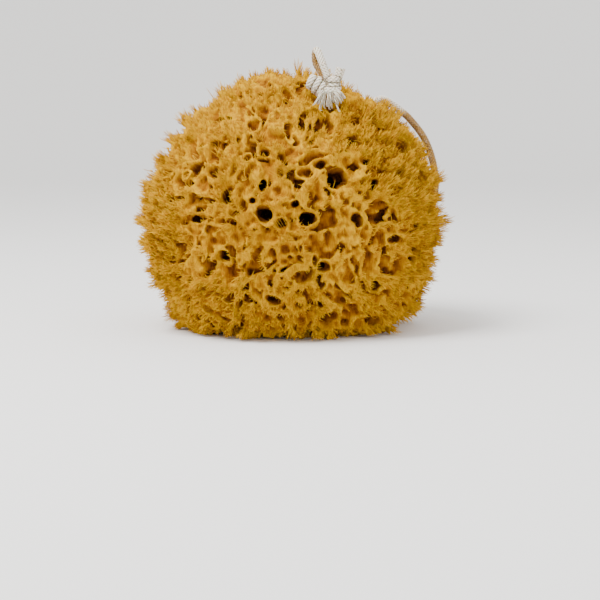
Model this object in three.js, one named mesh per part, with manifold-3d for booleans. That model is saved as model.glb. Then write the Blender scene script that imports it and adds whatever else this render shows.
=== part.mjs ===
// A natural bath sponge, cut flat where it grew on the rock, with a braided cotton hanging cord.
// Millimetres, +Z up, the front of the sponge faces -Y. The origin is in the middle of the cut.
import * as THREE from 'three';
import { mergeVertices } from 'three/addons/utils/BufferGeometryUtils.js';
import Module from 'manifold-3d';

const wasm = await Module();
wasm.setup();

// ---- Driving dimensions ----

// The sponge is half an ellipsoid above its widest level and half of a taller one below it.
const HALF_WIDTH = 68.2;
const HALF_DEPTH = 62.5;
const WIDEST_LEVEL = 50;
const HEIGHT_ABOVE = 68.5;
const HEIGHT_BELOW = 80;
const SPHERE_DETAIL = 15;

// Lumps and hollows of the whole body:
// [azimuth from +X, elevation, both in degrees, share of the radius, spread in degrees]
const LUMPS = [
  [180, 40, -0.015, 20],
  [0, 20, 0.015, 18],
  [180, 78, 0.022, 14],
  [-90, 8, 0.03, 26],
  [-60, 45, -0.02, 18],
  [-125, 30, 0.022, 16],
  [-150, -8, 0.025, 20],
  [-35, -12, 0.02, 20],
  [40, 35, 0.02, 22],
  [70, 5, -0.03, 20],
  [100, 38, 0.03, 18],
  [130, -5, 0.028, 22],
  [155, 25, -0.025, 16],
  [75, 65, -0.02, 16],
  [-75, -28, -0.03, 18],
  [20, -25, -0.02, 18],
  [170, -30, -0.03, 20],
];
const RIPPLE = 0.7;

// Mouths of the wide channels on the front: [x, z, radius, depth]
const FRONT_MOUTHS = [
  [7.5, 95.5, 10, 6],
  [19, 71, 7, 7],
  [-11, 56.5, 6, 6],
  [7.5, 55.5, 6, 6],
  [-17, 95.5, 6, 4],
  [-28, 64.5, 6, 4],
  [-12, 70, 6, 4],
  [-11.5, 82, 6, 4],
  [25.5, 88, 7, 5],
  [53, 74, 6, 5],
  [36, 68.5, 6, 4],
  [28.5, 54, 6, 4],
  [44, 54, 7, 5],
  [-41, 54, 7, 4],
  [-30, 38, 7, 5],
  [14, 33, 7, 5],
  [38, 24, 7, 4],
  [-8, 19, 6, 4],
];
// The rest of the body has mouths of one size, spread evenly over the sides, back and top.
const OTHER_MOUTHS = 46;
const OTHER_MOUTH_RADIUS = 6.5;
const OTHER_MOUTH_DEPTH = 4.5;
const FRONT_SECTOR = -0.55;

// The cord
const CORD_RADIUS = 1.6;
const CORD_SIDES = 8;
const CORD_STEP = 7;
const CLEARANCE = 0.35;
const PASSAGE_CLEARANCE = 0.5;
const MERGE_DISTANCE = 0.01;

// The free loop: out of the knot, through the tissue under the crown, out at the top right, down the
// right flank to the ground behind, and back up the rear and through the crown to the knot.
const LOOP_ROUTE = [
  [19.6, -22, 108.8],
  [24.4, -14.4, 104.8],
  [30.4, -6, 102.6],
  [36.2, 1, 103.6],
  [41.4, 5.6, 106.1],
  [46.2, 8, 104.4],
  [51.7, 9.6, 100.3],
  [56.1, 10.8, 96.3],
  [62.3, 12, 88.3],
  [66.2, 12.4, 79],
  [68.4, 14.4, 68],
  [67.8, 20, 57],
  [64.6, 29, 43],
  [60, 38, 28],
  [55.4, 46.6, 13],
  [48, 55.4, 3.2],
  [38, 62, 2],
  [29.5, 65.4, 3.6],
  [23.4, 66.4, 13],
  [20, 66, 28],
  [18.5, 65.4, 43],
  [18, 64, 58],
  [18, 60.4, 73],
  [18.4, 52.4, 88],
  [19.4, 42.4, 100.6],
  [20.5, 32.4, 107.6],
  [20.6, 21.4, 109.6],
  [18.5, 9, 107.4],
  [16, -4, 106.2],
  [13.2, -14.6, 107.2],
  [11.8, -21, 109.6],
];

// The knot lies on the front of the crown: four wraps side by side round a slanting axis.
const KNOT_CENTRE = [14.4, -27, 111.9];
const WRAP_RADIUS = 2.8;
const WRAP_OFFSETS = [-4.35, -1.45, 1.45, 4.35];
const WRAP_TILT = 0.12;
const KNOT_CORE = [6.2, 3.1, 3.1];
const SEAT_EXTRA = 1.2;
const SEAT_EXTRA_LENGTH = 5.6;
const BIGHT_ROUTE = [
  [16.5, -28.6, 112.6],
  [16.2, -28.4, 116.2],
  [14.5, -27.6, 120.8],
  [12.7, -26.4, 125.2],
  [11.3, -24.4, 127.8],
  [10.7, -22.6, 125.6],
  [11.3, -22.1, 122],
  [13.4, -22.8, 118.4],
  [15, -23.8, 114.4],
];
const CUT_END_ROUTE = [
  [17.6, -27, 111.6],
  [19.8, -27.2, 113.6],
  [21.3, -27.4, 116.8],
  [22.2, -27.6, 120.4],
];
const SHORT_STEP = 2.5;
const TASSEL_TOP = [16.2, -30.4, 110.2];
const TASSEL_END = [17, -39.6, 101.4];
const TASSEL_TOP_RADIUS = 2.2;
const TASSEL_END_RADIUS = 7.2;
const TASSEL_THICKNESS = 0.32;

// ---- Materials ----

const spongeMaterial = new THREE.MeshStandardMaterial({ color: 0xd9a145, roughness: 0.95, metalness: 0 });
const loopMaterial = new THREE.MeshStandardMaterial({ color: 0xe9e2d3, roughness: 0.9, metalness: 0 });
const knotMaterial = new THREE.MeshStandardMaterial({ color: 0xf2eee4, roughness: 0.9, metalness: 0 });

// ---- Helpers ----

function closedGeometry(geometry) {
  const plain = geometry.clone();
  plain.deleteAttribute('normal');
  plain.deleteAttribute('uv');
  return mergeVertices(plain, 1e-4);
}

function toSolid(geometry) {
  const closed = closedGeometry(geometry);
  const vertProperties = new Float32Array(closed.attributes.position.array);
  const triVerts = new Uint32Array(closed.index.array);
  return new wasm.Manifold(new wasm.Mesh({ numProp: 3, vertProperties, triVerts }));
}

// Corners closer together than MERGE_DISTANCE become one, and a triangle that this flattens is left out.
function toGeometry(solid) {
  const mesh = solid.getMesh();
  const cut = new THREE.BufferGeometry();
  cut.setAttribute('position', new THREE.BufferAttribute(mesh.vertProperties, 3));
  cut.setIndex(new THREE.BufferAttribute(mesh.triVerts, 1));
  const merged = mergeVertices(cut, MERGE_DISTANCE);
  const corners = merged.index.array;
  const kept = [];
  for (let i = 0; i < corners.length; i += 3) {
    const [a, b, c] = corners.slice(i, i + 3);
    if (a !== b && b !== c && c !== a) {
      kept.push(a, b, c);
    }
  }
  merged.setIndex(kept);
  merged.computeVertexNormals();
  return merged;
}

function namedMesh(name, geometry, material) {
  const mesh = new THREE.Mesh(geometry, material);
  mesh.name = name;
  return mesh;
}

function direction(azimuth, elevation) {
  const a = THREE.MathUtils.degToRad(azimuth);
  const e = THREE.MathUtils.degToRad(elevation);
  return new THREE.Vector3(Math.cos(e) * Math.cos(a), Math.cos(e) * Math.sin(a), Math.sin(e));
}

function curveThrough(points) {
  const vectors = points.map((point) => new THREE.Vector3(...point));
  return new THREE.CatmullRomCurve3(vectors, false, 'centripetal');
}

// A tube with flat ends along a route.
function tube(points, radius, step) {
  const curve = curveThrough(points);
  const corners = [];
  for (let side = 0; side < CORD_SIDES; side += 1) {
    const angle = (2 * Math.PI * side) / CORD_SIDES;
    corners.push(new THREE.Vector2(radius * Math.cos(angle), radius * Math.sin(angle)));
  }
  const steps = Math.ceil(curve.getLength() / step);
  return new THREE.ExtrudeGeometry(new THREE.Shape(corners), {
    steps,
    bevelEnabled: false,
    extrudePath: curve,
  });
}

// ---- The sponge ----

function ellipsoidRadius(way) {
  const height = way.z > 0 ? HEIGHT_ABOVE : HEIGHT_BELOW;
  return 1 / Math.hypot(way.x / HALF_WIDTH, way.y / HALF_DEPTH, way.z / height);
}

function frontMouth([x, z, radius, depth]) {
  const up = z - WIDEST_LEVEL;
  const height = up > 0 ? HEIGHT_ABOVE : HEIGHT_BELOW;
  const forward = HALF_DEPTH * Math.sqrt(1 - (x / HALF_WIDTH) ** 2 - (up / height) ** 2);
  return { way: new THREE.Vector3(x, -forward, up).normalize(), radius, depth };
}

function otherMouths() {
  const goldenAngle = Math.PI * (3 - Math.sqrt(5));
  const mouths = [];
  for (let i = 0; i < OTHER_MOUTHS; i += 1) {
    const z = 1 - (2 * (i + 0.5)) / OTHER_MOUTHS;
    const turn = i * goldenAngle;
    const way = new THREE.Vector3(Math.cos(turn), Math.sin(turn), 0);
    way.multiplyScalar(Math.sqrt(1 - z * z)).setZ(z);
    if (way.y > FRONT_SECTOR && way.z > -0.6) {
      mouths.push({ way, radius: OTHER_MOUTH_RADIUS, depth: OTHER_MOUTH_DEPTH });
    }
  }
  return mouths;
}

const lumps = LUMPS.map(([azimuth, elevation, share, spread]) => ({
  way: direction(azimuth, elevation),
  share,
  spread: THREE.MathUtils.degToRad(spread),
}));
const mouths = [...FRONT_MOUTHS.map(frontMouth), ...otherMouths()];

function spongeRadius(way) {
  const base = ellipsoidRadius(way);
  let radius = base;
  for (const lump of lumps) {
    const off = way.angleTo(lump.way) / lump.spread;
    radius += base * lump.share * Math.exp(-off * off);
  }
  radius += RIPPLE * Math.sin(9 * way.x + 2) * Math.sin(8 * way.y + 1) * Math.sin(10 * way.z);
  for (const mouth of mouths) {
    const off = (way.angleTo(mouth.way) * base) / mouth.radius;
    if (off < 1) {
      radius -= mouth.depth * (1 - off * off) ** 2;
    }
  }
  return radius;
}

function spongeBody() {
  const ball = closedGeometry(new THREE.IcosahedronGeometry(1, SPHERE_DETAIL));
  const position = ball.attributes.position;
  const way = new THREE.Vector3();
  for (let i = 0; i < position.count; i += 1) {
    way.fromBufferAttribute(position, i).normalize();
    way.multiplyScalar(spongeRadius(way));
    position.setXYZ(i, way.x, way.y, way.z + WIDEST_LEVEL);
  }
  const room = 4 * HALF_WIDTH;
  const aboveCut = new THREE.BoxGeometry(room, room, room).translate(0, 0, room / 2);
  const cut = toGeometry(toSolid(ball).intersect(toSolid(aboveCut)));
  cut.computeBoundingBox();
  const middle = cut.boundingBox.getCenter(new THREE.Vector3());
  return cut.translate(-middle.x, -middle.y, 0);
}

// ---- The knot ----

function wrap(offset) {
  const ring = new THREE.TorusGeometry(WRAP_RADIUS, CORD_RADIUS, CORD_SIDES, 14);
  ring.rotateY(Math.PI / 2);
  ring.translate(offset, 0, 0);
  ring.rotateY(WRAP_TILT);
  return ring.translate(...KNOT_CENTRE);
}

function knotCore() {
  const core = new THREE.SphereGeometry(1, 14, 10);
  core.scale(...KNOT_CORE);
  core.rotateY(WRAP_TILT);
  return core.translate(...KNOT_CENTRE);
}

function tassel(grow) {
  const top = new THREE.Vector3(...TASSEL_TOP);
  const end = new THREE.Vector3(...TASSEL_END);
  const length = top.distanceTo(end) + 2 * grow;
  const spread = TASSEL_END_RADIUS + grow;
  const cone = new THREE.CylinderGeometry(spread, TASSEL_TOP_RADIUS + grow, length, 12);
  cone.scale(1, 1, TASSEL_THICKNESS + (2 * grow) / TASSEL_TOP_RADIUS);
  const way = end.clone().sub(top).normalize();
  cone.applyQuaternion(new THREE.Quaternion().setFromUnitVectors(new THREE.Vector3(0, 1, 0), way));
  const middle = top.clone().lerp(end, 0.5);
  return cone.translate(middle.x, middle.y, middle.z);
}

function knotSolid() {
  let solid = toSolid(knotCore());
  for (const offset of WRAP_OFFSETS) {
    solid = solid.add(toSolid(wrap(offset)));
  }
  solid = solid.add(toSolid(tube(BIGHT_ROUTE, CORD_RADIUS, SHORT_STEP)));
  solid = solid.add(toSolid(tube(CUT_END_ROUTE, CORD_RADIUS, SHORT_STEP)));
  return solid.add(toSolid(tassel(0)));
}

// A seat a little larger than the knot, so that the knot lies in the sponge without touching it.
function knotSeat() {
  const reach = WRAP_RADIUS + CORD_RADIUS + CLEARANCE;
  const seat = new THREE.SphereGeometry(1, 16, 12);
  seat.scale(reach + SEAT_EXTRA_LENGTH, reach + SEAT_EXTRA, reach + SEAT_EXTRA);
  seat.rotateY(WRAP_TILT);
  seat.translate(...KNOT_CENTRE);
  return toSolid(seat).add(toSolid(tassel(CLEARANCE)));
}

// ---- The object ----

const loopPassage = toSolid(tube(LOOP_ROUTE, CORD_RADIUS + PASSAGE_CLEARANCE, CORD_STEP));
const sponge = toSolid(spongeBody()).subtract(loopPassage).subtract(knotSeat());
const knot = knotSolid();

const object = new THREE.Group();
object.add(namedMesh('sponge', toGeometry(sponge), spongeMaterial));
object.add(namedMesh('hanging_loop', tube(LOOP_ROUTE, CORD_RADIUS, CORD_STEP), loopMaterial));
object.add(namedMesh('knot', toGeometry(knot), knotMaterial));

export default object;
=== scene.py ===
"""A natural honeycomb bath sponge, resting on its flat cut, with a knotted cotton hanging cord."""

import itertools
import math

import bpy
import numpy as np
import openvdb
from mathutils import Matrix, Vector
from mathutils.bvhtree import BVHTree


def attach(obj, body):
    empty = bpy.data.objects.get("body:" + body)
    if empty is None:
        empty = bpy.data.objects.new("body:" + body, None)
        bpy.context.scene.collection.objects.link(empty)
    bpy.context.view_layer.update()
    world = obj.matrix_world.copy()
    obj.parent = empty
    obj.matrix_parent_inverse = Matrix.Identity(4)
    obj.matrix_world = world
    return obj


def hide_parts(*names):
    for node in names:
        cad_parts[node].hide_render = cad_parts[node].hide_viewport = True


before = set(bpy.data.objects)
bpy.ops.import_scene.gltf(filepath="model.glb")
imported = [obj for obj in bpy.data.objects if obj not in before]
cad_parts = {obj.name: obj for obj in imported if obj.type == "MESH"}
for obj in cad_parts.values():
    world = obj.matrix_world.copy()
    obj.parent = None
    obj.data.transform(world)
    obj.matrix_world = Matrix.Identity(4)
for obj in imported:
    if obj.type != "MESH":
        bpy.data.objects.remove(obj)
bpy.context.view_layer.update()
MM = 0.001


# ---------------------------------------------------------------- studio

LENS_MM = 96.5
SENSOR_MM = 36.0
CAMERA_DISTANCE = 0.75
CAMERA_HEIGHT = 0.1085
CAMERA_ASIDE = 0.004
CAMERA_PITCH = 7.3
ROOM_LIGHT = 1.5
LIGHTS_AIM = (0, 0, 0.07)


def studio_camera():
    data = bpy.data.cameras.new("studio_camera")
    data.lens = LENS_MM
    data.sensor_width = SENSOR_MM
    camera = bpy.data.objects.new("studio_camera", data)
    camera.location = (CAMERA_ASIDE, -CAMERA_DISTANCE, CAMERA_HEIGHT)
    camera.rotation_euler = (math.radians(90 - CAMERA_PITCH), 0, 0)
    bpy.context.scene.collection.objects.link(camera)
    bpy.context.scene.camera = camera


def softbox(name, place, size, watts):
    light = bpy.data.lights.new(name, "AREA")
    light.shape = "RECTANGLE"
    light.size, light.size_y = size
    light.energy = watts
    lamp = bpy.data.objects.new(name, light)
    lamp.location = place
    lamp.rotation_euler = (Vector(LIGHTS_AIM) - Vector(place)).to_track_quat("-Z", "Y").to_euler()
    bpy.context.scene.collection.objects.link(lamp)


def studio_light():
    world = bpy.data.worlds.new("pale_room")
    world.use_nodes = True
    background = world.node_tree.nodes["Background"]
    background.inputs["Color"].default_value = (1.0, 0.99, 0.97, 1)
    background.inputs["Strength"].default_value = ROOM_LIGHT
    bpy.context.scene.world = world
    softbox("softbox_above_left", (-0.38, -0.30, 0.85), (0.45, 0.45), 14)
    softbox("softbox_front_right", (0.6, -0.7, 0.35), (0.5, 0.5), 1.2)


studio_camera()
studio_light()


# ---------------------------------------------------------------- mesh helpers

def mesh_piece(name, points, faces):
    """A new smooth object from points in metres and its faces: arrays of triangles or quads, in a list."""
    mesh = bpy.data.meshes.new(name)
    groups = [np.asarray(g, np.int32) for g in faces if len(g)]
    corners = np.concatenate([g.ravel() for g in groups])
    counts = np.concatenate([np.full(len(g), g.shape[1], np.int32) for g in groups])
    starts = np.concatenate([[0], np.cumsum(counts)[:-1]]).astype(np.int32)
    mesh.vertices.add(len(points))
    mesh.vertices.foreach_set("co", np.asarray(points, np.float32).ravel())
    mesh.loops.add(len(corners))
    mesh.loops.foreach_set("vertex_index", corners)
    mesh.polygons.add(len(counts))
    mesh.polygons.foreach_set("loop_start", starts)
    mesh.polygons.foreach_set("loop_total", counts)
    mesh.polygons.foreach_set("use_smooth", np.ones(len(counts), bool))
    mesh.update(calc_edges=True)
    mesh.validate()
    piece = bpy.data.objects.new(name, mesh)
    bpy.context.scene.collection.objects.link(piece)
    return piece


def value_on_points(piece, name, values):
    """Lays a named value on each point, for the materials to read."""
    layer = piece.data.attributes.new(name, "FLOAT", "POINT")
    layer.data.foreach_set("value", np.asarray(values, np.float32).ravel())


def points_of(piece):
    points = np.empty(len(piece.data.vertices) * 3, np.float32)
    piece.data.vertices.foreach_get("co", points)
    return points.reshape(-1, 3)


def unit(vectors):
    return vectors / np.maximum(np.linalg.norm(vectors, axis=-1, keepdims=True), 1e-9)


def smoothstep(low, high, value):
    """0 at low, 1 at high and smooth between them. With low above high, it falls instead of rising."""
    t = np.clip((value - low) / (high - low), 0, 1)
    return t * t * (3 - 2 * t)


# ---------------------------------------------------------------- material helpers

def new_group(name, inputs, outputs):
    """An empty shader node group with named sockets, and its input and output nodes."""
    group = bpy.data.node_groups.new(name, "ShaderNodeTree")
    for label, kind, default in inputs:
        socket = group.interface.new_socket(name=label, in_out="INPUT", socket_type=kind)
        if default is not None:
            socket.default_value = default
    for label, kind in outputs:
        group.interface.new_socket(name=label, in_out="OUTPUT", socket_type=kind)
    return group, group.nodes.new("NodeGroupInput"), group.nodes.new("NodeGroupOutput")


def node(tree, kind, settings=None, **inputs):
    """A new node with its settings and its inputs, each a value or another node's socket.

    An input is given by its name, or by its number as i0, i1 and so on."""
    made = tree.nodes.new(kind)
    for key, value in (settings or {}).items():
        setattr(made, key, value)
    for key, value in inputs.items():
        socket = made.inputs[int(key[1:])] if key[0] == "i" and key[1:].isdigit() else made.inputs[key]
        if isinstance(value, bpy.types.NodeSocket):
            tree.links.new(value, socket)
        else:
            socket.default_value = value
    return made


def math_node(tree, operation, a, b, clamp=False):
    return node(tree, "ShaderNodeMath", {"operation": operation, "use_clamp": clamp}, i0=a, i1=b).outputs[0]


def spread_value(tree, value, low, high, to_low=0.0, to_high=1.0):
    """The value, where low to high is spread out smoothly over to_low to to_high."""
    return node(tree, "ShaderNodeMapRange", {"interpolation_type": "SMOOTHSTEP"}, Value=value,
                i1=low, i2=high, i3=to_low, i4=to_high).outputs["Result"]


def ramp(tree, value, stops):
    """A colour for each value, from stops of [value, colour]."""
    made = node(tree, "ShaderNodeValToRGB", Fac=value)
    elements = made.color_ramp.elements
    while len(elements) < len(stops):
        elements.new(0.5)
    for element, (place, colour) in zip(elements, stops):
        element.position = place
        element.color = (*colour, 1)
    return made.outputs["Color"]


def blend_colours(tree, share, first, second):
    return node(tree, "ShaderNodeMix", {"data_type": "RGBA"}, i0=share, i6=first, i7=second).outputs[2]


def place_group(tree, group, **inputs):
    return node(tree, "ShaderNodeGroup", {"node_tree": group}, **inputs)


def attribute(tree, name):
    return node(tree, "ShaderNodeAttribute", {"attribute_name": name}).outputs["Fac"]


def new_material(name, **constants):
    """A material with a Principled BSDF whose constant sockets are set, its tree and that shader."""
    material = bpy.data.materials.new(name)
    material.use_nodes = True
    tree = material.node_tree
    shader = tree.nodes["Principled BSDF"]
    for key, value in constants.items():
        shader.inputs[key.replace("_", " ")].default_value = value
    return material, tree, shader


# ---------------------------------------------------------------- shared effects

def noise(tree, where, size, detail, distortion=0.0):
    return node(tree, "ShaderNodeTexNoise", Vector=where, Scale=size, Detail=detail,
                Distortion=distortion).outputs["Fac"]


def places(group, given):
    """Places on the object, as they are and squashed."""
    where = node(group, "ShaderNodeTexCoord").outputs["Object"]
    squashed = node(group, "ShaderNodeVectorMath", {"operation": "MULTIPLY"}, i0=where,
                    i1=given.outputs["Squash"])
    return where, squashed.outputs["Vector"]


def mottle_group():
    """Uneven natural tint: broad clouds and fine flecks, from 0 to 1 around a half.

    Squash draws the flecks out."""
    group, given, result = new_group(
        "natural_mottle",
        [("Cloud Size", "NodeSocketFloat", 90.0), ("Fleck Size", "NodeSocketFloat", 900.0),
         ("Fleck Share", "NodeSocketFloat", 0.4), ("Squash", "NodeSocketVector", (1.0, 1.0, 1.0))],
        [("Mask", "NodeSocketFloat")])
    where, streaky = places(group, given)
    clouds = noise(group, where, given.outputs["Cloud Size"], 3.0)
    flecks = noise(group, streaky, given.outputs["Fleck Size"], 2.0)
    fleck_part = math_node(group, "MULTIPLY", flecks, given.outputs["Fleck Share"])
    cloud_share = math_node(group, "SUBTRACT", 1.0, given.outputs["Fleck Share"])
    total = math_node(group, "ADD", math_node(group, "MULTIPLY", clouds, cloud_share), fleck_part)
    group.links.new(spread_value(group, total, 0.3, 0.7), result.inputs["Mask"])
    return group


def felt_group():
    """The felted relief of fine fibres: a height from 0 to 1. Squash draws the fibres out."""
    group, given, result = new_group(
        "fibre_felt",
        [("Fibre Size", "NodeSocketFloat", 1400.0), ("Pucker Size", "NodeSocketFloat", 420.0),
         ("Squash", "NodeSocketVector", (1.0, 1.0, 1.0))],
        [("Height", "NodeSocketFloat")])
    where, combed = places(group, given)
    fine = noise(group, combed, given.outputs["Fibre Size"], 2.0, 0.8)
    broad = noise(group, where, given.outputs["Pucker Size"], 3.0)
    total = math_node(group, "ADD", math_node(group, "MULTIPLY", fine, 0.6),
                      math_node(group, "MULTIPLY", broad, 0.4))
    group.links.new(total, result.inputs["Height"])
    return group


mottle = mottle_group()
felt = felt_group()


def felt_surface(tree, shader, strength, distance, **felt_inputs):
    """Gives a shader the felt's relief."""
    relief = place_group(tree, felt, **felt_inputs).outputs["Height"]
    bump = node(tree, "ShaderNodeBump", Strength=strength, Distance=distance, Height=relief)
    tree.links.new(bump.outputs["Normal"], shader.inputs["Normal"])


# ---------------------------------------------------------------- the cord

CORD_RADIUS = 1.6 * MM

# Out of the knot, through the tissue under the crown, down the right flank to the ground behind,
# and back up the rear and through the crown to the knot.
LOOP_ROUTE = [
    (19.6, -22, 108.8), (24.4, -14.4, 104.8), (30.4, -6, 102.6), (36.2, 1, 103.6), (41.4, 5.6, 106.1),
    (46.2, 8, 104.4), (51.7, 9.6, 100.3), (56.1, 10.8, 96.3), (62.3, 12, 88.3), (66.2, 12.4, 79),
    (68.4, 14.4, 68), (67.8, 20, 57), (64.6, 29, 43), (60, 38, 28), (55.4, 46.6, 13), (48, 55.4, 3.2),
    (38, 62, 2), (29.5, 65.4, 3.6), (23.4, 66.4, 13), (20, 66, 28), (18.5, 65.4, 43), (18, 64, 58),
    (18, 60.4, 73), (18.4, 52.4, 88), (19.4, 42.4, 100.6), (20.5, 32.4, 107.6), (20.6, 21.4, 109.6),
    (18.5, 9, 107.4), (16, -4, 106.2), (13.2, -14.6, 107.2), (11.8, -21, 109.6),
]


def length_along(route):
    """How far along the route each of its points lies."""
    return np.concatenate([[0], np.cumsum(np.linalg.norm(np.diff(route, axis=0), axis=1))])


def smooth_route(points, step):
    """Points a step apart on a smooth curve through the given points, all in metres."""
    points = np.asarray(points, float)
    padded = np.vstack([2 * points[0] - points[1], points, 2 * points[-1] - points[-2]])
    dense = []
    for a, b, c, d in zip(padded, padded[1:], padded[2:], padded[3:]):
        t = np.linspace(0, 1, 24, endpoint=False)[:, None]
        dense.append(0.5 * (2 * b + (c - a) * t + (2 * a - 5 * b + 4 * c - d) * t ** 2
                            + (3 * b - a - 3 * c + d) * t ** 3))
    dense = np.vstack([*dense, points[-1:]])
    along = length_along(dense)
    count = max(2, int(round(along[-1] / step)) + 1)
    at = np.linspace(0, along[-1], count)
    return np.stack([np.interp(at, along, dense[:, k]) for k in range(3)], axis=1)


def directions_across(route):
    """Two directions across the route at each point, carried along it without twisting."""
    ahead = unit(np.gradient(route, axis=0))
    side = np.empty_like(route)
    first = np.cross(ahead[0], (0, 0, 1))
    # A cord that starts upright needs another first direction.
    if np.linalg.norm(first) < 0.1:
        first = np.cross(ahead[0], (0, 1, 0))
    side[0] = unit(first)
    for i in range(1, len(route)):
        carried = side[i - 1] - ahead[i] * (side[i - 1] @ ahead[i])
        side[i] = unit(carried)
    return side, np.cross(ahead, side)


def tube_mesh(route, radii, sides):
    """Points and faces of a tube with closed ends. radii has one row per ring and one value per side."""
    side, up = directions_across(route)
    turn = np.linspace(0, 2 * math.pi, sides, endpoint=False)
    out = side[:, None] * np.cos(turn)[None, :, None] + up[:, None] * np.sin(turn)[None, :, None]
    points = (route[:, None] + out * radii[..., None]).reshape(-1, 3)
    rings = len(route)
    ring = np.arange(rings - 1)[:, None] * sides
    this = np.arange(sides)[None]
    after = (this + 1) % sides
    walls = np.stack([ring + this, ring + after, ring + sides + after, ring + sides + this], -1)
    first, last = len(points), len(points) + 1
    points = np.vstack([points, route[:1], route[-1:]])
    start = np.stack([np.full(sides, first), after[0], this[0]], -1)
    end_ring = (rings - 1) * sides
    end = np.stack([np.full(sides, last), end_ring + this[0], end_ring + after[0]], -1)
    return points, [walls.reshape(-1, 4), np.vstack([start, end])]


BRAID_STRANDS = 6
BRAID_PITCH = 8.4 * MM
BRAID_RELIEF = 0.38 * MM
BRAID_SIDES = 24
BRAID_STEP = 0.45 * MM


def braid_height(along, turn):
    """How high the braid stands, 0 to 1: strands that cross over and under each other in two directions."""
    left = BRAID_STRANDS * (turn / (2 * math.pi) + along / BRAID_PITCH)
    right = BRAID_STRANDS * (turn / (2 * math.pi) - along / BRAID_PITCH)
    over = (np.floor(left) + np.floor(right)) % 2 < 1
    across = np.where(over, left % 1, right % 1)
    length = np.where(over, right % 1, left % 1)
    return np.sin(math.pi * across) ** 0.7 * (0.45 + 0.55 * np.sin(math.pi * length) ** 0.6)


def braided_cord(name, points_mm, radius=CORD_RADIUS, slack=None):
    """A length of braided cord. Gives the piece, its middle line and how far along each ring is.

    slack gives how much wider the cord is at each place along it."""
    route = smooth_route(np.asarray(points_mm, float) * MM, BRAID_STEP)
    along = length_along(route)
    turn = np.linspace(0, 2 * math.pi, BRAID_SIDES, endpoint=False)
    height = braid_height(along[:, None], turn[None])
    radii = radius - BRAID_RELIEF + BRAID_RELIEF * 1.6 * height
    if slack is not None:
        radii = radii * slack(along / along[-1])[:, None]
    points, faces = tube_mesh(route, radii, BRAID_SIDES)
    piece = mesh_piece(name, points, faces)
    # The braid's height also sets its colour: painted shade in the gaps between its strands.
    relief = np.concatenate([height.ravel(), [0.4, 0.4]])
    value_on_points(piece, "relief", relief)
    return piece, route, along


def ring_directions(piece, route):
    """The way each point of a cord faces, ring by ring."""
    rings = points_of(piece)[:len(route) * BRAID_SIDES].reshape(len(route), BRAID_SIDES, 3)
    return unit(rings - route[:, None])


def loop_tan_shade(piece, route, along):
    """The loop's tan painted shade: from the flank on, and least on the side away from the sponge."""
    share = smoothstep(0.046, 0.053, along) * (1 - 0.45 * smoothstep(0.12, 0.17, along))
    away = unit(route - np.array((0.0, 0.0, 0.055)))
    facing = (ring_directions(piece, route) * away[:, None]).sum(2)
    return share[:, None] * smoothstep(1.02, 0.80, facing)


hanging_loop, loop_route, loop_along = braided_cord("hanging_loop_cord", LOOP_ROUTE)
# The tan painted shade along the loop.
tan_shade = loop_tan_shade(hanging_loop, loop_route, loop_along)
value_on_points(hanging_loop, "tan_shade", np.concatenate([tan_shade.ravel(), [0.0, 0.0]]))


# ---------------------------------------------------------------- the knot

KNOT_CENTRE = np.array((14.4, -27.0, 111.9))
# How many points a coil has for each whole turn.
SPIRAL_STEPS = 12


def spiral(centre, axis, up, start, turns, radius, pitch):
    """Points of a coil round an axis through the centre, in mm. Starts and turns are in whole turns."""
    axis = unit(np.asarray(axis, float))
    up = np.asarray(up, float)
    up = unit(up - axis * (up @ axis))
    side = np.cross(axis, up)
    t = np.linspace(0, 1, int(turns * SPIRAL_STEPS) + 1)
    angle = 2 * math.pi * (start + turns * t)
    shift = (t - 0.5) * pitch * turns
    return (centre + axis * shift[:, None] + up * (radius * np.cos(angle))[:, None]
            + side * (radius * np.sin(angle))[:, None])


knot_routes = []


def knot_cord(name, points, tan_shaded=None, **options):
    """A length of braided cord in the knot.

    The rule after the points, if given, is the tan painted shade for each place along the cord and each way
    that it faces."""
    piece, route, along = braided_cord(name, points, **options)
    count = len(piece.data.vertices)
    values = np.zeros(count)
    if tan_shaded is not None:
        facing = ring_directions(piece, route)
        values[:-2] = tan_shaded((along / along[-1])[:, None], facing).ravel()
    value_on_points(piece, "tan_shade", values)
    knot_routes.append((piece, route))
    return piece


def bight_tan_shade(share, facing):
    """The tan painted shade of the bight, on the inner side of its far half."""
    return smoothstep(0.50, 0.56, share) * smoothstep(-0.85, -0.35, facing @ np.array((0.6, -0.8, 0)))


# The big left lobe: turns side by side that slant down to the right.
knot_lobe = knot_cord(
    "knot_lobe",
    spiral(KNOT_CENTRE + (-2.7, -0.5, 0.3), (0.74, -0.1, -0.62), (0.4, 0, 1), 0.1, 2.5, 2.35, 2.9))
# Two level turns on the right, round the foot of the bight.
knot_collar = knot_cord(
    "knot_collar",
    spiral(KNOT_CENTRE + (3.9, -0.4, 1.1), (0.12, 0, 1), (0, -1, 0), 0.3, 2.1, 2.3, 2.7))
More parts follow.
